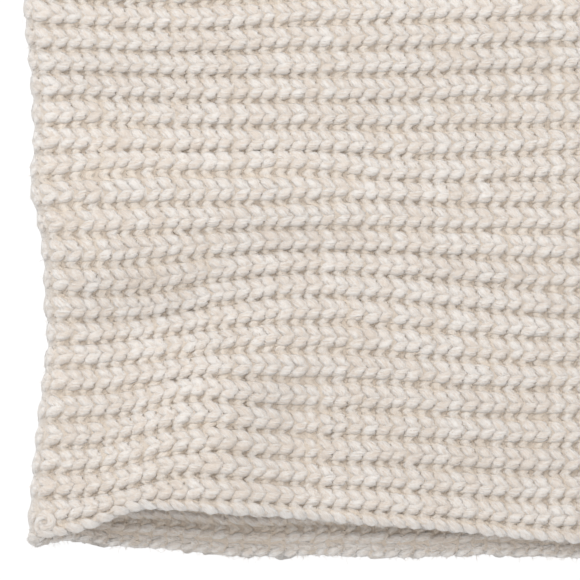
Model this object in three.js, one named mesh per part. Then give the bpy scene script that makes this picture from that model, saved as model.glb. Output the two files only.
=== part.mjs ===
// A chunky rib-knit snood: one strip of 1x1 rib knitting, its two ends joined into a tube that is worn round
// the neck. It lies flat, as on a table. X runs along the ribs from fold to fold, Y along the tube from the
// lower mouth to the upper one, Z up, and the origin is the middle of its footprint. The strip's edges roll
// round a half rib, and the join is a narrow column of grafting stitches on the left fold.
import * as THREE from "three";

// Driving dimensions, in millimetres
const RIB_PITCH = 9.4; // one raised column of stitches and the sunk one beside it
const RIB_COUNT = 30; // whole ribs between the two edges
const FLAT_WIDTH = 302.5; // over the two folds
const WALL_HALF = 3.4; // from the middle of the fabric out to the top of a rib
const GROOVE_HALF = 1.2; // from the middle of the fabric out to the bottom of a groove
const RIB_TOP_HALF = 1.7; // half the width of a rib's flat top
const FOLD_RADIUS = 8.5; // of the middle of the fabric at each fold
const EDGE_ROLL = 1.9; // radius on which the half rib at each edge is measured as it rolls over
const BACK_SPREAD = 0.06; // share by which the back wall lies longer than the front along the tube
const SEAM_SETBACK = 7.5; // along the fabric, from the left fold's outermost line up to the join's middle
const SEAM_WIDTH = 6; // the column of grafting stitches, along the rib
const SEAM_SINK = 0.4; // how far the join's ribs lie below the strip's
const PIECE_GAP = 0.3; // between the join and each end of the strip

// How far the fabric is from a flat rectangle. Each row is one smooth swell: its middle, reach and move.
// Where the front wall's ribs drift along Y
const FRONT_DRIFTS = [
  { x: -51, y: -71, reachX: 48, reachY: 32, move: 5.2 },
  { x: -89, y: -127, reachX: 27, reachY: 34, move: 5.4 },
  { x: -89, y: -150, reachX: 40, reachY: 12, move: 3.9 },
  { x: -51, y: -142, reachX: 22, reachY: 7, move: 1.8 },
  { x: -99, y: -130, reachX: 11, reachY: 5, move: 1.8 },
  { x: -96, y: -101, reachX: 12, reachY: 7, move: 1.8 },
  { x: -33, y: -134, reachX: 40, reachY: 22, move: 1.8 },
  { x: -134, y: -116, reachX: 20, reachY: 22, move: -2.5 },
  { x: -141, y: -150, reachX: 12, reachY: 9, move: -2.2 },
  { x: 42, y: -134, reachX: 47, reachY: 25, move: -2.9 },
  { x: -141, y: -62, reachX: 40, reachY: 25, move: -3.2 },
  { x: -109, y: -60, reachX: 25, reachY: 14, move: -1.4 },
  { x: 42, y: -62, reachX: 29, reachY: 16, move: -2.3 },
  { x: -55, y: -16, reachX: 25, reachY: 6, move: 2.5 },
  { x: -116, y: -16, reachX: 22, reachY: 5, move: 2.2 },
  { x: -91, y: -19, reachX: 32, reachY: 6, move: 1.1 },
  { x: -12, y: -12, reachX: 32, reachY: 11, move: -1.6 },
  { x: -33, y: -28, reachX: 25, reachY: 5, move: 1.6 },
  { x: -137, y: 15, reachX: 32, reachY: 16, move: 1.6 },
  { x: 38, y: 26, reachX: 40, reachY: 22, move: 2 },
  { x: -102, y: 46, reachX: 43, reachY: 20, move: -3.2 },
  { x: 75, y: 95, reachX: 50, reachY: 35, move: -3 },
  { x: -20, y: 120, reachX: 60, reachY: 25, move: -2.5 },
  { x: -111, y: -146, reachX: 15, reachY: 8, move: 5.2 },
  { x: -8, y: -146, reachX: 28, reachY: 9, move: 1.3 },
  { x: 52, y: -146, reachX: 18, reachY: 9, move: -1.3 },
  { x: -149, y: -150, reachX: 4, reachY: 12, move: -3 },
];
// Where the back wall's ribs drift along Y
const BACK_DRIFTS = [
  { x: -130, y: -150, reachX: 36, reachY: 26, move: 5.2 },
  { x: -117, y: -150, reachX: 11, reachY: 20, move: -2.1 },
  { x: -76, y: -150, reachX: 24, reachY: 22, move: -1.6 },
  { x: -18, y: -150, reachX: 24, reachY: 22, move: -1.5 },
  { x: 70, y: -150, reachX: 42, reachY: 25, move: -2.5 },
  { x: -149, y: -150, reachX: 4, reachY: 12, move: -3 },
];
// Where the front wall lifts off the back wall, or sinks towards it
const LIFTS = [
  { x: -86, y: -152, reachX: 38, reachY: 38, move: 11 },
  { x: -5, y: -152, reachX: 55, reachY: 28, move: 6 },
  { x: 70, y: -152, reachX: 45, reachY: 30, move: 4 },
  { x: 30, y: 152, reachX: 65, reachY: 36, move: 7 },
  { x: -70, y: 152, reachX: 35, reachY: 26, move: 3 },
  { x: -60, y: 25, reachX: 55, reachY: 40, move: 1.6 },
  { x: 65, y: -30, reachX: 50, reachY: 60, move: 1.4 },
  { x: -50, y: -47, reachX: 34, reachY: 14, move: -1.2 },
  { x: 0, y: 0, reachX: 110, reachY: 110, move: -1.2 },
];
// Where the folds bow along X
const LEFT_BOWS = [
  { y: -66, reachY: 30, move: 5 },
  { y: 60, reachY: 45, move: -3.5 },
  { y: -146, reachY: 25, move: -2.5 },
  { y: -20, reachY: 9, move: -2 },
  { y: -60, reachY: 9, move: -1.4 },
  { y: 38, reachY: 14, move: -0.8 },
];
const RIGHT_BOWS = [
  { y: 70, reachY: 55, move: -3 },
  { y: -60, reachY: 60, move: 3.5 },
];
const BOW_FADE = 60; // how far in from a fold its bow is felt

// Fineness of the solids: sections along each stretch of the strip, and points round each rolled edge
const SECTIONS = {
  underLeftFold: 3,
  unevenBack: 4,
  evenBack: 2,
  rightFold: 5,
  front: 18,
  overLeftFold: 1,
  join: 2,
};
const UNEVEN_BACK = 75; // the back wall's stretch next to the left fold, where its lower edge swells most
const ROLL_STEPS = 4;
const TANGENT_STEP = 0.05; // over which the fabric's directions are measured

// Sizes worked out from these
const halfWidth = FLAT_WIDTH / 2 - WALL_HALF; // of the middle of the fabric
const flatRun = 2 * (halfWidth - FOLD_RADIUS); // the straight stretch of each wall
const foldArc = Math.PI * FOLD_RADIUS;
const loopLength = 2 * flatRun + 2 * foldArc;
const middleHeight = WALL_HALF + FOLD_RADIUS; // of the folds above the table
const lastGroove = (RIB_COUNT * RIB_PITCH) / 2; // from the strip's middle to the outermost groove
const rollStart = lastGroove + RIB_PITCH / 2 - (EDGE_ROLL * Math.PI) / 2;

// Evenly spaced values from `start` to `end`, both included.
function spaced(start, end, steps) {
  return Array.from({ length: steps + 1 }, (_, i) => start + ((end - start) * i) / steps);
}

// A smooth swell's strength, 1 at its middle, at a distance from it.
const swell = (distance, reach) => Math.exp(-((distance / reach) ** 2));

// All the moves of a table of swells at one place; a row without x reaches all the way along X.
function total(swells, x, y) {
  let sum = 0;
  for (const s of swells) {
    const acrossX = s.x === undefined ? 1 : swell(x - s.x, s.reachX);
    sum += s.move * acrossX * swell(y - s.y, s.reachY);
  }
  return sum;
}

// The flat tube's section: a point at arc length `along` from the left fold's outermost line, the way the
// strip was knitted: under the left fold, along the back, round the right fold and back along the front.
function sectionPoint(along) {
  const a = ((along % loopLength) + loopLength) % loopLength;
  const centre = halfWidth - FOLD_RADIUS;
  if (a > loopLength - foldArc / 2 || a <= foldArc / 2) {
    const angle = (a > loopLength / 2 ? a - loopLength : a) / FOLD_RADIUS;
    return [-centre - FOLD_RADIUS * Math.cos(angle), -FOLD_RADIUS * Math.sin(angle)];
  }
  if (a <= foldArc / 2 + flatRun) return [-centre + a - foldArc / 2, -FOLD_RADIUS];
  if (a <= foldArc * 1.5 + flatRun) {
    const angle = (a - foldArc / 2 - flatRun) / FOLD_RADIUS;
    return [centre + FOLD_RADIUS * Math.sin(angle), -FOLD_RADIUS * Math.cos(angle)];
  }
  return [centre - (a - foldArc * 1.5 - flatRun), FOLD_RADIUS];
}

// The middle of the fabric at `along` round the loop and `across` the strip.
function fabricMiddle(along, across) {
  const [x, z] = sectionPoint(along);
  const front = 0.5 + z / (2 * FOLD_RADIUS); // 1 on the front wall, 0 on the back
  const back = 1 - front;
  const bow =
    total(LEFT_BOWS, 0, across) * swell(x + halfWidth, BOW_FADE) +
    total(RIGHT_BOWS, 0, across) * swell(x - halfWidth, BOW_FADE);
  const drift = front * total(FRONT_DRIFTS, x, across) + back * total(BACK_DRIFTS, x, across);
  return new THREE.Vector3(
    x + bow,
    across * (1 + BACK_SPREAD * back) + drift,
    middleHeight + z + front * total(LIFTS, x, across),
  );
}

// The fabric's directions there: out of the tube, and across the strip towards the upper mouth.
function fabricDirections(along, across) {
  const h = TANGENT_STEP;
  const alongWay = fabricMiddle(along + h, across).sub(fabricMiddle(along - h, across));
  const acrossWay = fabricMiddle(along, across + h).sub(fabricMiddle(along, across - h)).normalize();
  const out = new THREE.Vector3().crossVectors(acrossWay, alongWay).normalize();
  return { out, acrossWay };
}

// A point `depth` out from the middle of the fabric. Past rollStart the outer face rolls over the edge.
function fabricPoint(along, across, depth) {
  const side = Math.sign(across);
  const held = side * Math.min(Math.abs(across), rollStart);
  const angle = (Math.abs(across) - Math.abs(held)) / EDGE_ROLL;
  const { out, acrossWay } = fabricDirections(along, held);
  return fabricMiddle(along, held)
    .addScaledVector(out, depth * Math.cos(angle))
    .addScaledVector(acrossWay, depth * side * Math.sin(angle));
}

// The strip's profile across its width, as [across, depth] pairs from the lower edge to the upper one: the
// outer face with both rolled edges, and the inner face, whose ribs sit behind the outer grooves.
function ribProfile(sink) {
  const top = WALL_HALF - sink;
  const rolled = spaced(rollStart, rollStart + Math.PI * EDGE_ROLL, ROLL_STEPS);
  const outer = rolled.map((across) => [-across, top]).reverse();
  const inner = [];
  for (let rib = 0; rib <= RIB_COUNT; rib++) {
    const groove = rib * RIB_PITCH - lastGroove;
    const middle = groove + RIB_PITCH / 2;
    outer.push([groove, GROOVE_HALF]);
    inner.push([groove, -top]);
    if (rib === RIB_COUNT) break;
    outer.push([middle - RIB_TOP_HALF, top], [middle + RIB_TOP_HALF, top]);
    inner.push([middle, -GROOVE_HALF]);
  }
  outer.push(...rolled.map((across) => [across, top]));
  return { outer, inner };
}

// The triangles of an end face: the outer and the inner chain of points zipped together across the strip,
// as places in the ring that runs up the outer chain and back down the inner one.
function endFaces({ outer, inner }) {
  const ringPlace = (i) => outer.length + inner.length - 1 - i;
  const faces = [];
  let o = 0;
  let i = 0;
  while (o + 1 < outer.length || i + 1 < inner.length) {
    const nextOuter = o + 1 < outer.length ? outer[o + 1][0] : Infinity;
    const nextInner = i + 1 < inner.length ? inner[i + 1][0] : Infinity;
    if (nextOuter <= nextInner) {
      faces.push([o, o + 1, ringPlace(i)]);
      o += 1;
    } else {
      faces.push([o, ringPlace(i + 1), ringPlace(i)]);
      i += 1;
    }
  }
  return faces;
}

// A closed solid: the profile carried round the loop through the arc lengths in `stops`.
function loft(profile, stops) {
  const ring = [...profile.outer, ...profile.inner.slice().reverse()];
  const positions = [];
  for (const along of stops) {
    for (const [across, depth] of ring) positions.push(...fabricPoint(along, across, depth).toArray());
  }
  const faces = [];
  for (let s = 0; s + 1 < stops.length; s++) {
    for (let p = 0; p < ring.length; p++) {
      const a = s * ring.length + p;
      const b = s * ring.length + ((p + 1) % ring.length);
      faces.push(a, b, a + ring.length, b, b + ring.length, a + ring.length);
    }
  }
  const last = (stops.length - 1) * ring.length;
  for (const [a, b, c] of endFaces(profile)) {
    faces.push(a, c, b);
    faces.push(last + a, last + b, last + c);
  }
  const geometry = new THREE.BufferGeometry();
  geometry.setAttribute("position", new THREE.Float32BufferAttribute(positions, 3));
  geometry.setIndex(faces);
  geometry.computeVertexNormals();
  return geometry;
}

const seam = -SEAM_SETBACK;
const stripStart = seam + SEAM_WIDTH / 2 + PIECE_GAP;
const stripEnd = seam + loopLength - SEAM_WIDTH / 2 - PIECE_GAP;
const backStart = foldArc / 2;
const evenBackStart = backStart + UNEVEN_BACK;
const frontStart = backStart + flatRun + foldArc;
const frontEnd = frontStart + flatRun;
const stripStops = [
  ...spaced(stripStart, backStart, SECTIONS.underLeftFold),
  ...spaced(backStart, evenBackStart, SECTIONS.unevenBack).slice(1),
  ...spaced(evenBackStart, backStart + flatRun, SECTIONS.evenBack).slice(1),
  ...spaced(backStart + flatRun, frontStart, SECTIONS.rightFold).slice(1),
  ...spaced(frontStart, frontEnd, SECTIONS.front).slice(1),
  ...spaced(frontEnd, stripEnd, SECTIONS.overLeftFold).slice(1),
];
const seamStops = spaced(seam - SEAM_WIDTH / 2, seam + SEAM_WIDTH / 2, SECTIONS.join);

function knitMaterial(colour) {
  return new THREE.MeshStandardMaterial({ color: colour, roughness: 0.95, metalness: 0 });
}

const snood = new THREE.Group();
const knitStrip = new THREE.Mesh(loft(ribProfile(0), stripStops), knitMaterial(0xe6dccf));
knitStrip.name = "knit_strip";
const joinSeam = new THREE.Mesh(loft(ribProfile(SEAM_SINK), seamStops), knitMaterial(0xe9e0d4));
joinSeam.name = "join_seam";
snood.add(knitStrip, joinSeam);

export default snood;
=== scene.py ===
"""Knits a chunky 1x1 rib snood, lying flat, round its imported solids.

The fabric is a strip of rib knitting whose courses run along Y and whose ribs run round the tube. Every
course is one strand of yarn, carried through a knit and a purl stitch in turn. Places on the fabric are
given as (along, across, depth): along the ribs, across them, and out from the middle of the fabric. Sizes
are in metres.
"""

import math
from collections import namedtuple

import bpy
import numpy as np
from bpy.props import FloatProperty, FloatVectorProperty, IntProperty, PointerProperty
from bpy.types import Operator, Panel, PropertyGroup
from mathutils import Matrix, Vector


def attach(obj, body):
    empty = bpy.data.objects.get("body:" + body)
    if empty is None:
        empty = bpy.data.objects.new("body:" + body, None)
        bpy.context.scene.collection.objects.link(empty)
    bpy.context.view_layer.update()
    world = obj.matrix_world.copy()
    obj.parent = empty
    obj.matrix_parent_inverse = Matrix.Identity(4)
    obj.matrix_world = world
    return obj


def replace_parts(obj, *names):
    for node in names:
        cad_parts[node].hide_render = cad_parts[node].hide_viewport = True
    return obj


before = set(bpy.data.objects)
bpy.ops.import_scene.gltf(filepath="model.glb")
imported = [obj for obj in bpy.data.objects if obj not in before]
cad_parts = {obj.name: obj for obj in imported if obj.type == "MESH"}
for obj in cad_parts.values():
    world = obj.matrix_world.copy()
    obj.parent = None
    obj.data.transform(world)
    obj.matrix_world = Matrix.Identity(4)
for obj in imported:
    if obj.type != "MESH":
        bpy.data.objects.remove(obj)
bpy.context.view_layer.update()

bl_info = {
    "name": "Ribbed Snood",
    "version": (1, 0, 0),
    "blender": (4, 5, 0),
    "location": "3D View > Sidebar > Snood",
    "description": "Knits a chunky ribbed snood, laid flat, round its packed solids",
    "category": "Object",
}

MM = 0.001
BODY = "root"

Swell = namedtuple("Swell", "x y reach_x reach_y move")
Bow = namedtuple("Bow", "y reach_y move")

# How far the fabric is from a flat rectangle, as the solids have it. Each row is one smooth swell: its
# middle, reach and move, in millimetres.
FRONT_DRIFTS = [
    Swell(-51, -71, 48, 32, 5.2),
    Swell(-89, -127, 27, 34, 5.4),
    Swell(-89, -150, 40, 12, 3.9),
    Swell(-51, -142, 22, 7, 1.8),
    Swell(-99, -130, 11, 5, 1.8),
    Swell(-96, -101, 12, 7, 1.8),
    Swell(-33, -134, 40, 22, 1.8),
    Swell(-134, -116, 20, 22, -2.5),
    Swell(-141, -150, 12, 9, -2.2),
    Swell(42, -134, 47, 25, -2.9),
    Swell(-141, -62, 40, 25, -3.2),
    Swell(-109, -60, 25, 14, -1.4),
    Swell(42, -62, 29, 16, -2.3),
    Swell(-55, -16, 25, 6, 2.5),
    Swell(-116, -16, 22, 5, 2.2),
    Swell(-91, -19, 32, 6, 1.1),
    Swell(-12, -12, 32, 11, -1.6),
    Swell(-33, -28, 25, 5, 1.6),
    Swell(-137, 15, 32, 16, 1.6),
    Swell(38, 26, 40, 22, 2),
    Swell(-102, 46, 43, 20, -3.2),
    Swell(75, 95, 50, 35, -3),
    Swell(-20, 120, 60, 25, -2.5),
    Swell(-111, -146, 15, 8, 5.2),
    Swell(-8, -146, 28, 9, 1.3),
    Swell(52, -146, 18, 9, -1.3),
    Swell(-149, -150, 4, 12, -3),
]
BACK_DRIFTS = [
    Swell(-130, -150, 36, 26, 5.2),
    Swell(-117, -150, 11, 20, -2.1),
    Swell(-76, -150, 24, 22, -1.6),
    Swell(-18, -150, 24, 22, -1.5),
    Swell(70, -150, 42, 25, -2.5),
    Swell(-149, -150, 4, 12, -3),
]
LIFTS = [
    Swell(-86, -152, 38, 38, 11),
    Swell(-5, -152, 55, 28, 6),
    Swell(70, -152, 45, 30, 4),
    Swell(30, 152, 65, 36, 7),
    Swell(-70, 152, 35, 26, 3),
    Swell(-60, 25, 55, 40, 1.6),
    Swell(65, -30, 50, 60, 1.4),
    Swell(-50, -47, 34, 14, -1.2),
    Swell(0, 0, 110, 110, -1.2),
]
LEFT_BOWS = [
    Bow(-66, 30, 5),
    Bow(60, 45, -3.5),
    Bow(-146, 25, -2.5),
    Bow(-20, 9, -2),
    Bow(-60, 9, -1.4),
    Bow(38, 14, -0.8),
]
RIGHT_BOWS = [
    Bow(70, 55, -3),
    Bow(-60, 60, 3.5),
]

# Soft folds in the front wall, which the solids leave out, as swells of the same form.
FRONT_FOLDS = [
    Swell(-92, -118, 20, 22, 6.5),
    Swell(-57, -112, 16, 26, -6),
    Swell(-68, -90, 22, 12, 3.5),
    Swell(-116, -70, 32, 13, -4.5),
    Swell(-120, -44, 34, 11, 2.5),
    Swell(-126, 8, 40, 20, -4.5),
    Swell(-85, -27, 75, 16, 3.5),
    Swell(15, 36, 65, 15, 3),
    Swell(30, -42, 45, 16, 2.5),
    Swell(-50, -150, 24, 28, -6),
    Swell(5, -160, 46, 42, -12),
    Swell(75, -160, 45, 45, -10),
]

# One leg of a stitch, from where its yarn crosses over from the next rib to the middle of its head. Places
# are in stitch pitches along, rib pitches across and yarn radii out of the fabric, and the yarn's thickness
# is a share of the whole. `steps` is how many rings the stretch up to the next point takes.
StitchPoint = namedtuple("StitchPoint", "along across depth thickness steps")
KNIT_UPPER_LEG = [
    StitchPoint(-0.40, 0.21, 0.25, 0.80, 1),
    StitchPoint(-0.20, 0.03, 1.02, 1.02, 1),
    StitchPoint(0.06, 0.115, 1.22, 1.08, 2),
    StitchPoint(0.46, 0.210, 1.05, 1.00, 1),
    StitchPoint(0.92, 0.268, 0.25, 0.76, 1),
    StitchPoint(1.48, 0.00, -0.62, 0.95, 0),
]
KNIT_LOWER_LEG = [
    StitchPoint(-0.40, 0.21, 0.25, 0.80, 1),
    StitchPoint(-0.20, 0.03, 1.02, 1.02, 1),
    StitchPoint(0.02, 0.115, 1.22, 1.08, 2),
    StitchPoint(0.38, 0.215, 1.05, 1.00, 1),
    StitchPoint(0.86, 0.278, 0.25, 0.74, 1),
    StitchPoint(1.48, 0.00, -0.62, 0.95, 0),
]
PURL_LEG = [
    StitchPoint(-0.40, 0.29, -0.25, 0.82, 1),
    StitchPoint(-0.02, 0.11, 0.90, 0.98, 1),
    StitchPoint(0.45, 0.215, 1.10, 1.04, 1),
    StitchPoint(1.14, 0.26, -0.10, 0.95, 1),
    StitchPoint(1.60, 0.00, -0.58, 1.02, 0),
]

# The strip is knitted in panels of whole courses, so that each stays a moderate mesh. The yarn has fewer
# sides on the back wall, which shows only from below and at the mouths. The seeds are for its stitches and
# its thickness. The coil is not knitted, so it needs none for stitches.
KnitPanel = namedtuple("KnitPanel", "name sides stitch_seed yarn_seed")
PANELS = [
    KnitPanel("knit_back_left", 5, 41, 61),
    KnitPanel("knit_back_right", 5, 42, 62),
    KnitPanel("knit_front_right", 6, 43, 63),
    KnitPanel("knit_front_middle", 6, 44, 64),
    KnitPanel("knit_front_left", 6, 45, 65),
]
JOIN = KnitPanel("join_stitches", 6, 52, 72)
COIL = KnitPanel("corner_coil", 6, None, 73)
FUZZ_SEED = 81
FELT_SEED = 91

# The corner coil from its outer end to its inner one, as shares of its length: how far it stands out of the
# fabric, in yarn radii, and its yarn's thickness, as a share of the whole.
CoilPoint = namedtuple("CoilPoint", "share rise thickness")
COIL_POINTS = [
    CoilPoint(0.0, -0.4, 0.60),
    CoilPoint(0.12, 1.0, 0.85),
    CoilPoint(0.45, 1.45, 0.92),
    CoilPoint(0.80, 1.40, 0.95),
    CoilPoint(1.0, 0.85, 0.80),
]


# Sizes and colours that a user would change


class SnoodFabric(PropertyGroup):
    """The strip of rib knitting and the flat tube that it makes."""

    flat_width: FloatProperty(
        name="Flat width", description="Over the two folds", default=0.3025, unit="LENGTH"
    )
    rib_pitch: FloatProperty(
        name="Rib pitch",
        description="One raised column and the sunk one beside it",
        default=0.0094,
        unit="LENGTH",
    )
    rib_count: IntProperty(name="Ribs", description="Whole ribs between the two edges", default=30, min=2)
    stitch_pitch: FloatProperty(
        name="Stitch pitch",
        description="From one stitch to the next along a rib",
        default=0.00517,
        unit="LENGTH",
    )
    wall_half: FloatProperty(
        name="Half thickness",
        description="From the middle of the fabric to a rib's top",
        default=0.0034,
        unit="LENGTH",
    )
    fold_radius: FloatProperty(
        name="Fold radius",
        description="Of the middle of the fabric at each fold",
        default=0.0085,
        unit="LENGTH",
    )
    edge_roll: FloatProperty(
        name="Edge roll",
        description="Radius on which the half rib at each edge rolls over",
        default=0.0019,
        unit="LENGTH",
    )
    edge_fullness: FloatProperty(
        name="Edge fullness",
        description="How far the rolled edge stitches stand out",
        default=0.0002,
        unit="LENGTH",
    )
    back_spread: FloatProperty(
        name="Back spread",
        description="Share by which the back wall is longer than the front",
        default=0.054,
    )
    bow_fade: FloatProperty(
        name="Bow fade", description="How far in from a fold its bow is felt", default=0.060, unit="LENGTH"
    )
    fold_press: FloatProperty(
        name="Fold press",
        description="Share by which the stitches are pressed flat at the folds",
        default=0.16,
    )
    fold_pressed: FloatProperty(
        name="Pressed width",
        description="How far from a fold's outermost line they are pressed",
        default=0.0075,
        unit="LENGTH",
    )
    seam_setback: FloatProperty(
        name="Join setback",
        description="Along the fabric, from the left fold's edge to the join's middle",
        default=0.0075,
        unit="LENGTH",
    )
    seam_width: FloatProperty(
        name="Join width", description="Of the column of grafting stitches", default=0.006, unit="LENGTH"
    )


class SnoodFelt(PropertyGroup):
    """The felted wool in the middle of the fabric, and the nap and painted rim light on its folds and
    edges.
    """

    half: FloatProperty(
        name="Felt half thickness",
        description="Of the felted middle, on average",
        default=0.0014,
        unit="LENGTH",
    )
    wave: FloatProperty(
        name="Felt wave",
        description="How far the felted middle follows the ribs",
        default=0.0011,
        unit="LENGTH",
    )
    fold_fill: FloatProperty(
        name="Fold fill",
        description="How far out the felt reaches at the folds",
        default=0.0025,
        unit="LENGTH",
    )
    fold_reach: FloatProperty(
        name="Fold reach",
        description="How far from a fold's outermost line the felt is fuller",
        default=0.0038,
        unit="LENGTH",
    )
    edge_fill: FloatProperty(
        name="Edge fill",
        description="How far out the felt reaches round the edges",
        default=0.0028,
        unit="LENGTH",
    )
    edge_root: FloatProperty(
        name="Edge root",
        description="Depth at which the edge's felt comes out between the stitches",
        default=0.0016,
        unit="LENGTH",
    )
    edge_reach: FloatProperty(
        name="Edge reach",
        description="From the edge's outermost line to each side of its felt",
        default=0.0031,
        unit="LENGTH",
    )
    edge_rough: FloatProperty(
        name="Edge roughness",
        description="How unevenly the edge's felt stands out",
        default=0.00060,
        unit="LENGTH",
    )
    coil_fill: FloatProperty(
        name="Coil fill",
        description="How far out the felt reaches under the corner coil",
        default=0.00325,
        unit="LENGTH",
    )
    coil_reach: FloatProperty(
        name="Coil reach",
        description="How far from the coil's middle the felt is fuller",
        default=0.004,
        unit="LENGTH",
    )
    # How far the nap from rubbing, and the pale rim light painted with it, reach from the folds and the
    # edges.
    fold_nap: FloatProperty(
        name="Fold nap",
        description="How far from a fold's outermost line the wool is rubbed",
        default=0.0038,
        unit="LENGTH",
    )
    edge_nap: FloatProperty(
        name="Edge nap",
        description="How far from an edge's outermost line the wool is rubbed",
        default=0.0014,
        unit="LENGTH",
    )


class SnoodCoil(PropertyGroup):
    """The end of the yarn, coiled on itself at the lower left corner."""

    along: FloatProperty(
        name="Coil along", description="Its middle, along the ribs", default=-0.0098, unit="LENGTH"
    )
    across: FloatProperty(
        name="Coil across", description="Its middle, across the ribs", default=-0.1412, unit="LENGTH"
    )
    outer: FloatProperty(
        name="Outer radius", description="Where the coil begins", default=0.0032, unit="LENGTH"
    )
    inner: FloatProperty(
        name="Inner radius", description="Where the coil ends", default=0.0006, unit="LENGTH"
    )
    turns: FloatProperty(name="Turns", description="How far round the coil goes", default=1.45)
    start: FloatProperty(
        name="Start", description="Angle at which the coil begins", default=-2.2, subtype="ANGLE"
    )
    lopsided: FloatProperty(
        name="Lopsidedness", description="Share by which it is out of round", default=0.12
    )
    rings: IntProperty(name="Rings", description="How many rings of its tube it has", default=34, min=8)


class SnoodYarn(PropertyGroup):
    """The yarn, its loose fibres and its colours."""

    radius: FloatProperty(
        name="Yarn radius", description="Of the relaxed yarn", default=0.00166, unit="LENGTH"
    )
    flattening: FloatProperty(
        name="Flattening", description="How far the yarn is pressed flat where it shows", default=0.22
    )
    unevenness: FloatProperty(
        name="Unevenness",
        description="How far a stitch strays from its place",
        default=0.00026,
        unit="LENGTH",
    )
    plumpness: FloatProperty(
        name="Plumpness", description="Share by which stitches differ in thickness", default=0.05
    )
    waver: FloatProperty(name="Waver", description="Share by which the thickness wavers", default=0.035)
    twist_length: FloatProperty(
        name="Twist length",
        description="Of one turn of the yarn's soft twist",
        default=0.022,
        unit="LENGTH",
    )
    fibre_length: FloatProperty(
        name="Fibre length", description="Of a loose fibre, on average", default=0.0015, unit="LENGTH"
    )
    fibre_radius: FloatProperty(
        name="Fibre radius", description="Of a loose fibre at its bend", default=0.00007, unit="LENGTH"
    )
    fibre_count: IntProperty(name="Fibres", description="How many loose fibres there are", default=16000)
    fibre_lift: FloatProperty(
        name="Fibre lift", description="Most that a fibre points off the yarn, as a share", default=0.95
    )
    cream: FloatVectorProperty(
        name="Cream", description="Of most of the fibres", subtype="COLOR", default=(0.915, 0.868, 0.82)
    )
    beige: FloatVectorProperty(
        name="Beige",
        description="Of the darker fibres spun in",
        subtype="COLOR",
        default=(0.80, 0.70, 0.61),
    )
    flecks: FloatVectorProperty(
        name="Flecks", description="Of the few brown fibres", subtype="COLOR", default=(0.50, 0.36, 0.27)
    )
    # Painted crease light: a warmer, brighter wool colour painted into the hollows between the stitches,
    # for light bounced between the strands.
    deep: FloatVectorProperty(
        name="Deep wool",
        description="Of the wool between the stitches",
        subtype="COLOR",
        default=(0.97, 0.84, 0.695),
    )
    # Partly the nap from rubbing, partly painted rim light: the pale, neutral wool of the folds and edges,
    # where the surface turns away under the white studio.
    rubbed: FloatVectorProperty(
        name="Rubbed wool",
        description="Of the nap on the folds and edges",
        subtype="COLOR",
        default=(0.925, 0.915, 0.905),
    )


class SnoodStage(PropertyGroup):
    """The camera and lights."""

    aim_x: FloatProperty(name="Aim X", description="Below the camera", default=-0.0585, unit="LENGTH")
    aim_y: FloatProperty(name="Aim Y", description="Below the camera", default=-0.0584, unit="LENGTH")
    camera_height: FloatProperty(
        name="Camera height", description="Above the snood's upper face", default=4.0, unit="LENGTH"
    )
    view_width: FloatProperty(
        name="View width", description="At the snood's upper face", default=0.2081, unit="LENGTH"
    )
    key_power: FloatProperty(
        name="Key light", description="Power of the round softbox", default=7.7, unit="POWER"
    )
    key_size: FloatProperty(
        name="Key size", description="Diameter of the softbox", default=1.8, unit="LENGTH"
    )
    key_distance: FloatProperty(
        name="Key distance", description="From the camera's aim to the softbox", default=1.0, unit="LENGTH"
    )
    key_way: FloatVectorProperty(
        name="Key direction",
        description="From the snood to the key light",
        subtype="DIRECTION",
        default=(-0.28, 0.62, 1.0),
    )
    sky_strength: FloatProperty(
        name="Surroundings", description="Strength of the white studio", default=0.715
    )
    floor_half: FloatProperty(name="Floor", description="Half its width", default=4.0, unit="LENGTH")
    floor_glow: FloatProperty(
        name="Floor glow", description="How far the floor lights itself", default=0.86
    )


# The fabric's form


def fabric_sizes():
    """The sizes worked out from the fabric's settings."""
    s = bpy.context.scene.snood_fabric
    half_width = s.flat_width / 2 - s.wall_half
    fold_arc = math.pi * s.fold_radius
    flat_run = 2 * (half_width - s.fold_radius)
    last_groove = s.rib_count * s.rib_pitch / 2
    edge_line = last_groove + s.rib_pitch / 2
    return {
        "half_width": half_width,
        "fold_arc": fold_arc,
        "flat_run": flat_run,
        "loop": 2 * flat_run + 2 * fold_arc,
        "edge_line": edge_line,
        "roll_start": edge_line - s.edge_roll * math.pi / 2,
    }


def bell(distance, reach):
    """A bell curve, exp(-(distance / reach)^2)."""
    return np.exp(-((distance / reach) ** 2))


def plateau(distance, reach):
    """A bell curve with a flat top, exp(-(distance / reach)^4)."""
    return np.exp(-((distance / reach) ** 4))


def swells(rows, x, y):
    """The sum of the rows' swells: each is its move times a bell along X and one along Y."""
    return MM * sum(r.move * bell(x / MM - r.x, r.reach_x) * bell(y / MM - r.y, r.reach_y) for r in rows)


def bows(rows, y):
    """The sum of the rows' bows: each is its move times a bell along Y."""
    return MM * sum(r.move * bell(y / MM - r.y, r.reach_y) for r in rows)


def fold_distance(along):
    """Arc length from the nearer fold's outermost line; the two lines lie half a loop apart."""
    half = fabric_sizes()["loop"] / 2
    return np.abs((along + half / 2) % half - half / 2)


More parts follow.
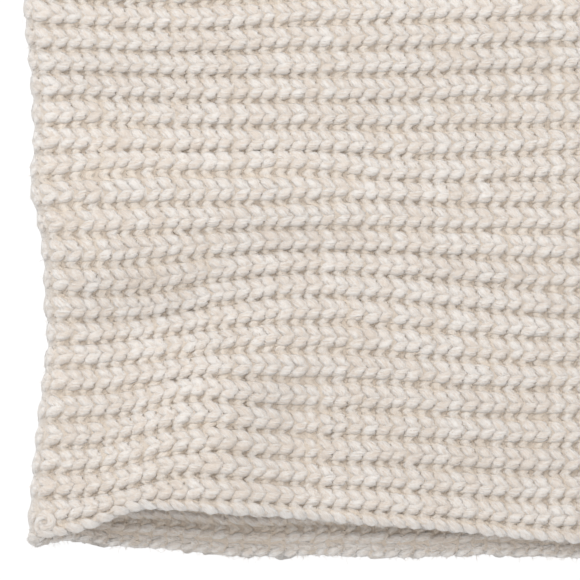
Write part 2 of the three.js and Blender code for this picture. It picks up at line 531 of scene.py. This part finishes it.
def section_point(along):
    """The flat tube's section: X, and Z from the folds' middle, at an arc length from the left fold's edge.

    A half circle at the left fold, the straight back, a half circle at the right fold, the straight front.
    """
    s, d = bpy.context.scene.snood_fabric, fabric_sizes()
    radius, centre = s.fold_radius, d["half_width"] - s.fold_radius
    u = (along + d["fold_arc"] / 2) % d["loop"]
    left = u / radius - math.pi / 2
    right = (u - d["fold_arc"] - d["flat_run"]) / radius
    stretches = [
        u < d["fold_arc"],
        u < d["fold_arc"] + d["flat_run"],
        u < 2 * d["fold_arc"] + d["flat_run"],
    ]
    x = np.select(
        stretches,
        [-centre - radius * np.cos(left), -centre + u - d["fold_arc"], centre + radius * np.sin(right)],
        centre - (u - 2 * d["fold_arc"] - d["flat_run"]),
    )
    z = np.select(
        stretches, [-radius * np.sin(left), np.full_like(u, -radius), -radius * np.cos(right)], radius
    )
    return x, z


def fabric_middle(along, across):
    """The middle of the fabric: the section swept along Y, plus its drifts, bows, lifts and soft folds."""
    s, d = bpy.context.scene.snood_fabric, fabric_sizes()
    x, z = section_point(along)
    front = 0.5 + z / (2 * s.fold_radius)
    back = 1 - front
    left_near = bell(x + d["half_width"], s.bow_fade)
    right_near = bell(x - d["half_width"], s.bow_fade)
    bow = bows(LEFT_BOWS, across) * left_near + bows(RIGHT_BOWS, across) * right_near
    drift = front * swells(FRONT_DRIFTS, x, across) + back * swells(BACK_DRIFTS, x, across)
    height = s.wall_half + s.fold_radius + z + front * swells(LIFTS + FRONT_FOLDS, x, across)
    return np.stack([x + bow, across * (1 + s.back_spread * back) + drift, height], axis=-1)


def unit(vectors):
    """Vectors scaled to length one."""
    least = 1e-12
    return vectors / np.maximum(np.linalg.norm(vectors, axis=-1, keepdims=True), least)


def fabric_directions(along, across):
    """Out of the tube, and across the strip, from central differences of the middle surface."""
    step = 0.05 * MM
    along_way = fabric_middle(along + step, across) - fabric_middle(along - step, across)
    across_way = unit(fabric_middle(along, across + step) - fabric_middle(along, across - step))
    return unit(np.cross(across_way, along_way)), across_way


def on_fabric(along, across, depth):
    """Points at a depth out from the middle, and the way out there.

    Past roll_start the way out turns towards the edge, by (|across| - roll_start) / edge_roll radians.
    """
    s, d = bpy.context.scene.snood_fabric, fabric_sizes()
    along, across, depth = np.broadcast_arrays(along, across, depth)
    side = np.sign(across)
    held = side * np.minimum(np.abs(across), d["roll_start"])
    angle = ((np.abs(across) - np.abs(held)) / s.edge_roll)[..., None]
    out, across_way = fabric_directions(along, held)
    way = out * np.cos(angle) + across_way * side[..., None] * np.sin(angle)
    return fabric_middle(along, held) + depth[..., None] * way, way


def wear(along, across):
    """How far the nap is raised by rubbing and painted with a pale rim light: the greater of the bells
    round the nearer fold and the nearer edge.
    """
    felt = bpy.context.scene.snood_felt
    edge = np.abs(across) - fabric_sizes()["edge_line"]
    return np.maximum(bell(fold_distance(along), felt.fold_nap), bell(edge, felt.edge_nap))


# Meshes


def new_piece(name, points, faces, finish, attributes=()):
    """A smooth mesh object at the origin from arrays of points and faces, riding on the one body."""
    mesh = bpy.data.meshes.new(name)
    mesh.from_pydata(points.reshape(-1, 3), [], faces)
    for label, kind, values in attributes:
        layer = mesh.attributes.new(label, kind, "POINT")
        field = "vector" if kind == "FLOAT_VECTOR" else "value"
        layer.data.foreach_set(field, np.ascontiguousarray(values, dtype=np.float32).ravel())
    mesh.shade_smooth()
    mesh.materials.append(material_of(finish))
    mesh.update()
    piece = bpy.data.objects.new(name, mesh)
    bpy.context.scene.collection.objects.link(piece)
    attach(piece, BODY)
    return piece


def above_table(points):
    """The points, with none of them below the table."""
    return np.concatenate([points[..., :2], np.maximum(points[..., 2:], 0.0)], axis=-1)


def closed_band(points):
    """Faces of a band that closes both ways: quads round each section and from each section to the next."""
    ring = np.arange(points.shape[0] * points.shape[1]).reshape(points.shape[:2])
    onward = np.roll(ring, -1, axis=0)
    quads = np.stack([ring, np.roll(ring, -1, axis=1), np.roll(onward, -1, axis=1), onward], axis=-1)
    return quads.reshape(-1, 4).tolist()


def smooth_line(points, steps):
    """Catmull-Rom curve through rows of numbers, with a given number of steps from each row to the next."""
    points = np.array(points, dtype=float)
    before = np.vstack([2 * points[0] - points[1], points, 2 * points[-1] - points[-2]])
    line = []
    for i, count in enumerate(steps):
        p0, p1, p2, p3 = before[i : i + 4]
        t = (np.arange(count) / count)[:, None]
        line.append(
            p1
            + 0.5 * t * (p2 - p0)
            + t**2 * (p0 - 2.5 * p1 + 2 * p2 - 0.5 * p3)
            + 0.5 * t**3 * (3 * p1 - p0 - 3 * p2 + p3)
        )
    return np.vstack(line + [points[-1:]])


# The yarn. Strands hold arrays of (strand, ring), and a yarn tube those of (strand, ring, side).

Strands = namedtuple("Strands", "paths ways_out depths radii tones across wear")
YarnTube = namedtuple("YarnTube", "points angles")


def yarn_tube(strands, panel):
    """Tubes along rows of points, one per strand: rings of an ellipse round each point, above the table.

    A ring lies across the path's direction T. Its axes are T x way out and the cross product of that with
    T, and its reach wavers from ring to ring and side to side. Gives the points and the angles round the
    yarn.
    """
    yarn = bpy.context.scene.snood_yarn
    rng = np.random.default_rng(panel.yarn_seed)
    waver = 1 + rng.normal(0, yarn.waver, (*strands.radii.shape, panel.sides))
    forward = unit(np.gradient(strands.paths, axis=1))
    sideways = unit(np.cross(forward, strands.ways_out))
    upward = np.cross(sideways, forward)
    turn = np.arange(panel.sides) * 2 * math.pi / panel.sides
    reach = strands.radii[..., None] * waver
    wide = (reach * (1 + yarn.flattening) * np.cos(turn))[..., None] * sideways[:, :, None, :]
    tall = (reach * (1 - yarn.flattening) * np.sin(turn))[..., None] * upward[:, :, None, :]
    points = above_table(strands.paths[:, :, None, :] + wide + tall)
    return YarnTube(points, np.broadcast_to(turn, points.shape[:3]))


def tube_faces(points):
    """Quads along each tube, and a flat cap at each of its ends."""
    ring = np.arange(points.size // 3).reshape(points.shape[:3])
    following = np.roll(ring, -1, axis=2)
    quads = np.stack([ring[:, :-1], following[:, :-1], following[:, 1:], ring[:, 1:]], axis=-1)
    return quads.reshape(-1, 4).tolist() + ring[:, 0, ::-1].tolist() + ring[:, -1].tolist()


def yarn_attributes(strands, tube):
    """What the yarn's material reads: place in the strand, a stitch's tone, cover, which sets the painted
    crease light, and the share of nap from rubbing and painted rim light.

    The place is (length along, cos, sin) of the angle round the yarn, turned once in each twist length.
    Cover is the distance from the fabric's middle, as a share of half its thickness.
    """
    s, yarn = bpy.context.scene.snood_fabric, bpy.context.scene.snood_yarn
    paths, angles = strands.paths, tube.angles
    strand_shift = 0.37
    steps = np.linalg.norm(np.diff(paths, axis=1), axis=-1)
    length = np.concatenate([np.zeros((len(paths), 1)), np.cumsum(steps, axis=1)], axis=1)
    length = length[..., None] + np.arange(len(paths))[:, None, None] * strand_shift
    twisted = angles + 2 * math.pi * length / yarn.twist_length
    lengths = np.broadcast_to(length, angles.shape)
    place = np.stack([lengths, yarn.radius * np.cos(twisted), yarn.radius * np.sin(twisted)], axis=-1)
    outward = ((tube.points - paths[:, :, None, :]) * strands.ways_out[:, :, None, :]).sum(axis=-1)
    # Cover sets how much painted crease light the material gives each part of the yarn.
    cover = np.clip(np.abs(outward + strands.depths[..., None]) / s.wall_half, 0, 1)
    return [
        ("strand", "FLOAT_VECTOR", place),
        ("tone", "FLOAT", np.broadcast_to(strands.tones[..., None], angles.shape)),
        ("cover", "FLOAT", cover),
        ("wear", "FLOAT", np.broadcast_to(strands.wear[..., None], angles.shape)),
    ]


def yarn_piece(panel, strands):
    """A piece of knitted yarn from its strands."""
    tube = yarn_tube(strands, panel)
    attributes = yarn_attributes(strands, tube)
    return new_piece(panel.name, tube.points, tube_faces(tube.points), melange_wool, attributes)


# The knitting


def stitch_template(lower_leg, upper_leg, outward):
    """A whole stitch's rings as rows of (along, across, depth, thickness), from one crossing to the next.

    Up the lower leg to the head and down the upper one. A purl stitch points its depth inwards.
    """
    rows = [p._replace(across=-p.across)[:4] for p in lower_leg] + [p[:4] for p in upper_leg[-2::-1]]
    steps = [p.steps for p in lower_leg[:-1]] + [p.steps for p in upper_leg[-2::-1]]
    line = smooth_line(rows, steps)
    line[:, 2] *= outward
    return line[:-1]


def course_template():
    """One course's rings across the whole strip, edge rib to edge rib, and each ring's stitch number."""
    s = bpy.context.scene.snood_fabric
    columns_per_rib, edge_columns = 2, 3
    knit = stitch_template(KNIT_LOWER_LEG, KNIT_UPPER_LEG, 1)
    purl = stitch_template(PURL_LEG, PURL_LEG, -1)
    rows, numbers = [], []
    columns = columns_per_rib * s.rib_count + edge_columns
    for column in range(columns):
        stitch = knit if column % 2 == 0 else purl
        middle = (column - (columns - 1) / 2) / columns_per_rib
        rows.append(stitch + [0, middle, 0, 0])
        numbers.append(np.full(len(stitch), column))
    return np.vstack(rows), np.concatenate(numbers)


def knit_courses(starts, pitch, seed):
    """The courses that begin at the arc lengths in `starts`, as strands.

    Each stitch strays a little from its place, less across the ribs and out of the fabric than along them,
    and so does each course, all from one seeded generator.
    """
    s, yarn = bpy.context.scene.snood_fabric, bpy.context.scene.snood_yarn
    course_share, across_share, depth_share = 0.6, 0.8, 0.7
    rng = np.random.default_rng(seed)
    line, stitch = course_template()
    courses, columns = len(starts), stitch.max() + 1
    stray = rng.normal(0, yarn.unevenness, (courses, columns, 3))
    plump = rng.normal(0, yarn.plumpness, (courses, columns))
    tones = rng.uniform(0, 1, (courses, columns))
    slack = rng.normal(0, course_share * yarn.unevenness, courses)[:, None]

    along = starts[:, None] + line[:, 0] * pitch + slack + stray[:, stitch, 0]
    across = line[:, 1] * s.rib_pitch + across_share * stray[:, stitch, 1]
    edge = (stitch == 0) | (stitch == columns - 1)
    depth = line[:, 2] * yarn.radius + depth_share * stray[:, stitch, 2] + s.edge_fullness * edge
    depth = depth * (1 - s.fold_press * plateau(fold_distance(along), s.fold_pressed))
    paths, ways = on_fabric(along, across, depth)
    radii = yarn.radius * line[:, 3] * (1 + plump[:, stitch])
    return Strands(paths, ways, depth, radii, tones[:, stitch], across, wear(along, across))


def panel_strands():
    """Each panel with its strands: the courses from one side of the join round to the other, shared out."""
    s = bpy.context.scene.snood_fabric
    run = fabric_sizes()["loop"] - s.seam_width
    courses = round(run / s.stitch_pitch)
    starts = -s.seam_setback + s.seam_width / 2 + np.arange(courses) * run / courses
    pairs = zip(PANELS, np.array_split(starts, len(PANELS)))
    return [(panel, knit_courses(own, run / courses, panel.stitch_seed)) for panel, own in pairs]


def join_strands():
    """The join's one course of long stitches, which closes the loop."""
    s = bpy.context.scene.snood_fabric
    return knit_courses(np.array([-s.seam_setback - s.seam_width / 2]), s.seam_width, JOIN.stitch_seed)


def coil_strands():
    """The corner coil's strand: a lopsided spiral from the outer to the inner radius.

    The radius shrinks with the share of the way to the power `tightening`, and rise and thickness run
    through the coil's points.
    """
    coil, yarn = bpy.context.scene.snood_coil, bpy.context.scene.snood_yarn
    tightening, lop_turn, tone = 1.3, 0.6, 0.4
    t = np.linspace(0, 1, coil.rings)
    angle = coil.start + t * 2 * math.pi * coil.turns
    reach = coil.outer + (coil.inner - coil.outer) * t**tightening
    reach *= 1 + coil.lopsided * np.sin(angle + lop_turn)
    shares, rises, thicknesses = zip(*COIL_POINTS)
    depth = yarn.radius * np.interp(t, shares, rises)
    along, across = coil.along + reach * np.cos(angle), coil.across + reach * np.sin(angle)
    paths, ways = on_fabric(along, across, depth)
    radii = yarn.radius * np.interp(t, shares, thicknesses)
    rows = (paths, ways, depth, radii, np.full(coil.rings, tone), across, wear(along, across))
    return Strands(*(row[None] for row in rows))


# The felt and the loose fibres


def felt_piece(name, points, worn_and_rim_lit):
    """A closed band of felted wool, and its share of nap from rubbing and painted rim light."""
    worn_and_rim_lit = np.broadcast_to(worn_and_rim_lit, points.shape[:2])
    return new_piece(name, points, closed_band(points), felted_wool, [("wear", "FLOAT", worn_and_rim_lit)])


def make_core():
    """The felted middle of the fabric, where the strands press on each other: a thick wall round the loop.

    Its section runs along the outer face, round both edges, and back along the inner face. Both faces wave
    with the ribs, by -cos(2 pi across / pitch), and the outer one swells to its fill at the folds and under
    the coil.
    """
    s, d = bpy.context.scene.snood_fabric, fabric_sizes()
    felt, coil = bpy.context.scene.snood_felt, bpy.context.scene.snood_coil
    columns_per_rib, roll_steps, fold_steps, wall_steps, fold_wave = 4, 4, 10, 24, 0.5
    flat = np.linspace(-d["roll_start"], d["roll_start"], columns_per_rib * s.rib_count + 1)
    rolled = np.linspace(d["roll_start"], d["edge_line"] + s.edge_roll, roll_steps + 1)[1:]
    line = np.concatenate([-rolled[::-1], flat, rolled])
    half_fold = d["fold_arc"] / 2
    ends = np.cumsum([-half_fold, d["fold_arc"], d["flat_run"], d["fold_arc"], d["flat_run"]])
    steps = (fold_steps, wall_steps, fold_steps, wall_steps)
    stretches = zip(ends, ends[1:], steps)
    along = np.concatenate([np.linspace(a, b, count, endpoint=False) for a, b, count in stretches])[:, None]

    def middle(across):
        return -felt.wave * np.cos(2 * math.pi * across / s.rib_pitch)

    fold = plateau(fold_distance(along), felt.fold_reach)
    outer = (middle(line) + felt.half) * (1 - fold) + (felt.fold_fill + fold_wave * middle(line)) * fold
    along_to_coil = (along + d["loop"] / 2 - coil.along) % d["loop"] - d["loop"] / 2
    under_coil = bell(np.hypot(along_to_coil, line - coil.across), felt.coil_reach)
    outer = np.maximum(outer, felt.coil_fill * under_coil)
    inner = np.broadcast_to(middle(flat[::-1]) - felt.half, (len(along), len(flat)))
    across = np.concatenate([line, flat[::-1]])[None, :]
    points = above_table(on_fabric(along, across, np.concatenate([outer, inner], axis=1))[0])
    return felt_piece("felted_core", points, wear(along, across))


def make_edge_felt(name, side, seed):
    """The felt that binds one rolled edge, half covering its stitches: a closed band round the loop.

    Over its width v the outer face rises from the root depth and falls back to it, by sin(pi v)^roundness,
    and strays by smoothed random numbers. The inner face is buried a little below the root depth.
    """
    d, felt = fabric_sizes(), bpy.context.scene.snood_felt
    section_steps, step_length, roundness, buried = 9, 1.4 * MM, 0.6, 0.5 * MM
    count = round(d["loop"] / step_length)
    along = (np.arange(count) * d["loop"] / count)[:, None]
    v = np.linspace(0, 1, section_steps)
    rough = np.random.default_rng(seed).normal(0, felt.edge_rough, (count, section_steps))
    rough = (np.roll(rough, 1, axis=0) + rough + np.roll(rough, -1, axis=0)) / math.sqrt(3)
    outer = felt.edge_root + (felt.edge_fill - felt.edge_root + rough) * np.sin(math.pi * v) ** roundness
    inner = np.full((count, section_steps // 2), felt.edge_root - buried)
    offsets = felt.edge_reach * (2 * np.concatenate([v, np.linspace(1, 0, section_steps // 2)]) - 1)
    across = side * (d["edge_line"] + offsets)
    depth = np.concatenate([outer, inner], axis=1)
    if side < 0:
        across, depth = across[::-1], depth[:, ::-1]
    points = above_table(on_fabric(along, across, depth)[0])
    return felt_piece(name, points, wear(along, across))


def fuzz_sites(total, rng):
    """Places for loose fibres on the strands' surfaces: points, ways off the yarn and ways along it.

    They sit on the faces that point out of the tube, and all round the strands at the mouths. Folds and
    mouths, which rub, have more of them.
    """
    s, d = bpy.context.scene.snood_fabric, fabric_sizes()
    even_share, fold_share, mouth_share, least_out = 0.15, 7, 14, 0.1
    mouth_reach = 0.45 * s.rib_pitch
    points, offs, forwards, weights = [], [], [], []
    for panel, strands in [*panel_strands(), (JOIN, join_strands()), (COIL, coil_strands())]:
        tube = yarn_tube(strands, panel).points
        off = unit(tube - strands.paths[:, :, None, :])
        forward = np.broadcast_to(unit(np.gradient(strands.paths, axis=1))[:, :, None, :], off.shape)
        faces_out = np.clip((off * strands.ways_out[:, :, None, :]).sum(axis=-1) - least_out, 0, 1)
        mouth = bell(np.abs(strands.across) - d["edge_line"], mouth_reach)
        rubbed = (even_share + fold_share * strands.wear + mouth_share * mouth)[..., None]
        points.append(tube.reshape(-1, 3))
        offs.append(off.reshape(-1, 3))
        forwards.append(forward.reshape(-1, 3))
        weights.append((faces_out * rubbed + mouth[..., None]).ravel())
    points, offs, forwards, weights = (np.concatenate(rows) for rows in (points, offs, forwards, weights))
    chosen = rng.choice(len(points), total, p=weights / weights.sum())
    return points[chosen], offs[chosen], forwards[chosen]


def make_fuzz():
    """Loose fibres: closed spindles with one bend, each from a root in the yarn to a free tip.

    The bend is a small triangle halfway along, and the tip drifts sideways from the first half's line. The
    triangle's first side is square to the way along and to a slightly skewed way off the yarn.
    """
    yarn = bpy.context.scene.snood_yarn
    least_lift, scatter, evenness, longest, tip_share, tip_drift = 0.1, 0.25, 4.0, 2.0, 0.9, 0.35
    root_depth, clear, skew = 0.15 * MM, 0.02 * MM, [0.31, 0.17, 0.05]
    total, rng = yarn.fibre_count, np.random.default_rng(FUZZ_SEED)
    root, off, forward = fuzz_sites(total, rng)
    lean = rng.uniform(least_lift, yarn.fibre_lift, (total, 1))
    sense = rng.choice([-1.0, 1.0], (total, 1))
    way = unit(off * lean + forward * sense * (1 - lean) + rng.normal(0, scatter, (total, 3)))
    length = yarn.fibre_length * np.minimum(rng.gamma(evenness, 1 / evenness, (total, 1)), longest)
    drift = rng.normal(0, tip_drift, (total, 3)) * length
    root = root - off * root_depth
    middle = root + way * length / 2
    tip = root + way * length * tip_share + drift
    side = unit(np.cross(way, off + skew))
    other = np.cross(way, side)
    turn = (np.arange(3) * 2 * math.pi / 3)[:, None]
    ring = yarn.fibre_radius * (np.cos(turn) * side[:, None, :] + np.sin(turn) * other[:, None, :])
    points = np.concatenate([root[:, None, :], middle[:, None, :] + ring, tip[:, None, :]], axis=1)
    points[..., 2] = np.maximum(points[..., 2], clear)
    corners = np.array([[0, 2, 1], [0, 3, 2], [0, 1, 3], [4, 1, 2], [4, 2, 3], [4, 3, 1]])
    faces = (np.arange(total)[:, None, None] * 5 + corners).reshape(-1, 3)
    return new_piece("loose_fibres", points, faces.tolist(), loose_wool_fibre)


# Materials


class Socket:
    """A node's output with Python's arithmetic, which adds Math nodes."""

    def __init__(self, nodes, output):
        self.nodes = nodes
        self.output = output

    def _math(self, operation, first, second):
        return self.nodes.add("ShaderNodeMath", {"operation": operation}, [first, second])

    def __add__(self, other):
        return self._math("ADD", self, other)

    def __radd__(self, other):
        return self._math("ADD", other, self)

    def __sub__(self, other):
        return self._math("SUBTRACT", self, other)

    def __rsub__(self, other):
        return self._math("SUBTRACT", other, self)

    def __mul__(self, other):
        return self._math("MULTIPLY", self, other)

    def __rmul__(self, other):
        return self._math("MULTIPLY", other, self)


class Nodes:
    """The node tree of one material, with one method that adds any node."""

    def __init__(self, material):
        material.use_nodes = True
        self.tree = material.node_tree
        self.tree.nodes.clear()

    def add(self, kind, settings=None, inputs=None, output=0):
        """A node of a kind: its settings first, then its sockets' values or links, by name or place."""
        node = self.tree.nodes.new(kind)
        for key, value in (settings or {}).items():
            setattr(node, key, value)
        pairs = inputs.items() if isinstance(inputs, dict) else enumerate(inputs or [])
        for key, value in pairs:
            if isinstance(value, Socket):
                self.tree.links.new(value.output, node.inputs[key])
            else:
                node.inputs[key].default_value = value
        return Socket(self, node.outputs[output]) if node.outputs else None


def opaque(colour):
    """A colour property as red, green, blue and full alpha."""
    return (*colour, 1.0)


def blended(nodes, share, first, second):
    """A mix of two colours or links by a share."""
    factor, colour_a, colour_b, colour_result = 0, 6, 7, 2
    sockets = {factor: share, colour_a: first, colour_b: second}
    return nodes.add("ShaderNodeMix", {"data_type": "RGBA"}, sockets, output=colour_result)


def noise(nodes, place, scale, detail=2.0, roughness=0.5):
    """Smooth noise from 0 to 1 at a place."""
    sockets = {"Vector": place, "Scale": scale, "Detail": detail, "Roughness": roughness}
    return nodes.add("ShaderNodeTexNoise", {}, sockets)


def rescaled(nodes, value, low, high, to_low, to_high):
    """A value mapped from one range to another and clamped."""
    return nodes.add("ShaderNodeMapRange", {}, [value, low, high, to_low, to_high])


def attribute(nodes, name, output="Fac"):
    """One of the mesh's own attributes."""
    return nodes.add("ShaderNodeAttribute", {"attribute_name": name}, output=output)


def object_place(nodes):
    """The place in the object's own coordinates."""
    return nodes.add("ShaderNodeTexCoord", output="Object")


def rubbed_wool(nodes, colour):
    """The colour, turned neutral by the nap from rubbing and by a painted pale rim light on the folds and
    edges.
    """
    yarn, most = bpy.context.scene.snood_yarn, 0.6
    return blended(nodes, attribute(nodes, "wear") * most, colour, opaque(yarn.rubbed))


def surface(nodes, sockets):
    """A Principled shader with these values or links, as the material's surface."""
    shader = nodes.add("ShaderNodeBsdfPrincipled", {}, sockets)
    nodes.add("ShaderNodeOutputMaterial", {}, {"Surface": shader})


def matte_wool(nodes, colour, height, strength):
    """The surface of matte wool, with a soft sheen over a fibre relief."""
    bump = nodes.add("ShaderNodeBump", {}, {"Strength": strength, "Distance": 0.0014, "Height": height})
    sockets = {
        "Base Color": colour,
        "Roughness": 0.95,
        "Specular IOR Level": 0.15,
        "Sheen Weight": 0.8,
        "Sheen Roughness": 0.5,
        "Normal": bump,
    }
    surface(nodes, sockets)


def material_of(finish):
    """The material that a finish's function fills, named after it and made when it is first asked for."""
    material = bpy.data.materials.get(finish.__name__)
    if material is None:
        material = bpy.data.materials.new(finish.__name__)
        finish(Nodes(material))
    return material


def melange_wool(nodes):
    """Matte melange wool: cream fibres with beige ones and a few brown flecks, drawn out along the yarn.

    Noises of fibres, locks and patches mix cream and beige. Hollows get painted crease light, warmer and
    brighter, and strays are flecks.
    """
    yarn = bpy.context.scene.snood_yarn
    drawn_out, most_crease_light, darkest = (0.22, 1, 1), 0.85, 0.45
    lock_share, patch_share, tone_share = 0.5, 0.4, 0.12
    all_cream, all_beige = 0.86, 1.16
    hollow_below, open_above = 0.30, 0.72
    plain_below, fleck_above = 0.69, 0.77
    fibre_relief, lock_relief = 0.7, 0.5
    place = attribute(nodes, "strand", "Vector")
    along_yarn = nodes.add("ShaderNodeVectorMath", {"operation": "MULTIPLY"}, [place, drawn_out])
    fibres = noise(nodes, along_yarn, scale=2000, detail=3, roughness=0.6)
    locks = noise(nodes, along_yarn, scale=800)
    strays = noise(nodes, along_yarn, scale=2300, detail=1)
    patches = noise(nodes, object_place(nodes), scale=120, detail=4, roughness=0.6)
    mixed = fibres + locks * lock_share + patches * patch_share + attribute(nodes, "tone") * tone_share
    beige_share = rescaled(nodes, mixed, all_cream, all_beige, 0.0, 1.0)
    melange = blended(nodes, beige_share, opaque(yarn.cream), opaque(yarn.beige))
    # Painted crease light: the deeper a strand lies in the fabric, the more of the warm crease-light colour
    # it takes.
    cover = attribute(nodes, "cover")
    crease_light_share = most_crease_light - rescaled(nodes, cover, hollow_below, open_above, 0.0, most_crease_light)
    crease_lit_melange = blended(nodes, crease_light_share, melange, opaque(yarn.deep))
    fleck_share = rescaled(nodes, strays, plain_below, fleck_above, 0.0, darkest)
    flecked = blended(nodes, fleck_share, crease_lit_melange, opaque(yarn.flecks))
    relief = fibres * fibre_relief + locks * lock_relief
    matte_wool(nodes, rubbed_wool(nodes, flecked), relief, strength=0.85)


def felted_wool(nodes):
    """The same wool, felted, with short fibres in all directions: a fine noise of beige wool and the
    painted crease-light colour, where the felt shows between the stitches.
    """
    yarn = bpy.context.scene.snood_yarn
    fibres = noise(nodes, object_place(nodes), scale=1500, detail=4, roughness=0.65)
    # Painted crease light in the gaps between the stitches, mixed with beige wool.
    felt = blended(nodes, fibres, opaque(yarn.beige), opaque(yarn.deep))
    matte_wool(nodes, rubbed_wool(nodes, felt), fibres, strength=0.8)


def loose_wool_fibre(nodes):
    """Single loose fibres, pale and matte: a slow noise of cream and beige."""
    yarn = bpy.context.scene.snood_yarn
    shade = noise(nodes, object_place(nodes), scale=300)
    colour = blended(nodes, shade, opaque(yarn.cream), opaque(yarn.beige))
    surface(nodes, {"Base Color": colour, "Roughness": 0.9, "Specular IOR Level": 0.2})


def paper_white(nodes):
    """Paper that glows enough to read as white, and lights the snood from below only a little."""
    sockets = {
        "Base Color": (0.2, 0.2, 0.2, 1),
        "Roughness": 0.9,
        "Emission Color": (1, 1, 1, 1),
        "Emission Strength": bpy.context.scene.snood_stage.floor_glow,
    }
    surface(nodes, sockets)


# The stage


def make_floor(stage):
    """A wide floor, just below the snood."""
    half, below = stage.floor_half, 0.2 * MM
    corners = [(-half, -half, 0), (half, -half, 0), (half, half, 0), (-half, half, 0)]
    mesh = bpy.data.meshes.new("floor")
    mesh.from_pydata(corners, [], [(0, 1, 2, 3)])
    mesh.materials.append(material_of(paper_white))
    floor = bpy.data.objects.new("floor", mesh)
    floor.location.z = -below
    bpy.context.scene.collection.objects.link(floor)


def make_lights(stage):
    """A round softbox at the upper left, in a white studio."""
    light = bpy.data.lights.new("key_light", "AREA")
    light.shape = "DISK"
    light.size = stage.key_size
    light.energy = stage.key_power
    way = Vector(stage.key_way).normalized()
    key = bpy.data.objects.new("key_light", light)
    key.location = Vector((stage.aim_x, stage.aim_y, 0)) + way * stage.key_distance
    key.rotation_euler = way.to_track_quat("Z", "Y").to_euler()
    key.visible_camera = False
    bpy.context.scene.collection.objects.link(key)
    world = bpy.context.scene.world or bpy.data.worlds.new("studio")
    bpy.context.scene.world = world
    world.use_nodes = True
    background = next(n for n in world.node_tree.nodes if n.type == "BACKGROUND")
    background.inputs["Color"].default_value = (1, 1, 1, 1)
    background.inputs["Strength"].default_value = stage.sky_strength


def make_camera(stage):
    """A long lens looking straight down on the snood's lower left part."""
    s, far = bpy.context.scene.snood_fabric, 5
    face = 2 * (s.wall_half + s.fold_radius)
    camera = bpy.data.cameras.new("camera")
    camera.lens = camera.sensor_width * stage.camera_height / stage.view_width
    camera.clip_end = far * stage.camera_height
    holder = bpy.data.objects.new("camera", camera)
    holder.location = (stage.aim_x, stage.aim_y, face + stage.camera_height)
    bpy.context.scene.collection.objects.link(holder)
    bpy.context.scene.camera = holder


# Operators


class SNOOD_OT_stage(Operator):
    """Set up the pale floor, the studio light and the camera straight above"""

    bl_idname = "snood.stage"
    bl_label = "Set the stage"

    def execute(self, context):
        stage = context.scene.snood_stage
        make_floor(stage)
        make_lights(stage)
        make_camera(stage)
        context.scene.view_settings.view_transform = "Standard"
        return {"FINISHED"}


class SNOOD_OT_panels(Operator):
    """Knit the strip of ribbing, in panels of whole courses"""

    bl_idname = "snood.panels"
    bl_label = "Knit the panels"

    def execute(self, context):
        pieces = [yarn_piece(panel, strands) for panel, strands in panel_strands()]
        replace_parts(pieces[0], "knit_strip")
        return {"FINISHED"}


class SNOOD_OT_join(Operator):
    """Graft the strip's two ends together with one column of long stitches"""

    bl_idname = "snood.join"
    bl_label = "Graft the join"

    def execute(self, context):
        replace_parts(yarn_piece(JOIN, join_strands()), "join_seam")
        return {"FINISHED"}


class SNOOD_OT_coil(Operator):
    """Coil the end of the yarn at the lower left corner"""

    bl_idname = "snood.coil"
    bl_label = "Coil the yarn's end"

    def execute(self, context):
        yarn_piece(COIL, coil_strands())
        return {"FINISHED"}


class SNOOD_OT_fuzz(Operator):
    """Raise loose fibres on the yarn, most of all on the folds and at the mouths"""

    bl_idname = "snood.fuzz"
    bl_label = "Raise the loose fibres"

    def execute(self, context):
        make_fuzz()
        return {"FINISHED"}


class SNOOD_OT_felt(Operator):
    bl_idname = "snood.felt"
    bl_label = "Felt the wool"

    def execute(self, context):
        d = fabric_sizes()
        core = make_core()
        make_edge_felt("lower_edge_felt", -1, FELT_SEED)
        make_edge_felt("upper_edge_felt", 1, FELT_SEED + 1)
        names = [panel.name for panel in (*PANELS, JOIN, COIL)]
        names += ["loose_fibres", "lower_edge_felt", "upper_edge_felt"]
        flat = (2 * d["roll_start"], d["loop"])
        return {"FINISHED"}


class SNOOD_PT_panel(Panel):
    """Lists the snood's makers and settings"""

    bl_label = "Ribbed snood"
    bl_idname = "SNOOD_PT_panel"
    bl_space_type = "VIEW_3D"
    bl_region_type = "UI"
    bl_category = "Snood"

    def draw(self, context):
        for group in SETTINGS:
            settings = getattr(context.scene, group)
            box = self.layout.box()
            for name in settings.__annotations__:
                box.prop(settings, name)
        for operator in OPERATORS:
            self.layout.operator(operator.bl_idname)


SETTINGS = {
    "snood_fabric": SnoodFabric,
    "snood_felt": SnoodFelt,
    "snood_coil": SnoodCoil,
    "snood_yarn": SnoodYarn,
    "snood_stage": SnoodStage,
}
OPERATORS = [SNOOD_OT_stage, SNOOD_OT_panels, SNOOD_OT_join, SNOOD_OT_coil, SNOOD_OT_fuzz, SNOOD_OT_felt]


def register():
    """Adds the settings, operators and panel."""
    for name, group in SETTINGS.items():
        bpy.utils.register_class(group)
        setattr(bpy.types.Scene, name, PointerProperty(type=group))
    for operator in OPERATORS:
        bpy.utils.register_class(operator)
    bpy.utils.register_class(SNOOD_PT_panel)


def unregister():
    """Takes the settings, operators and panel away again."""
    bpy.utils.unregister_class(SNOOD_PT_panel)
    for operator in reversed(OPERATORS):
        bpy.utils.unregister_class(operator)
    for name, group in SETTINGS.items():
        delattr(bpy.types.Scene, name)
        bpy.utils.unregister_class(group)


def main():
    """Makes every piece."""
    register()
    bpy.ops.snood.stage()
    bpy.ops.snood.panels()
    bpy.ops.snood.join()
    bpy.ops.snood.coil()
    bpy.ops.snood.fuzz()
    bpy.ops.snood.felt()


if __name__ == "__main__":
    main()
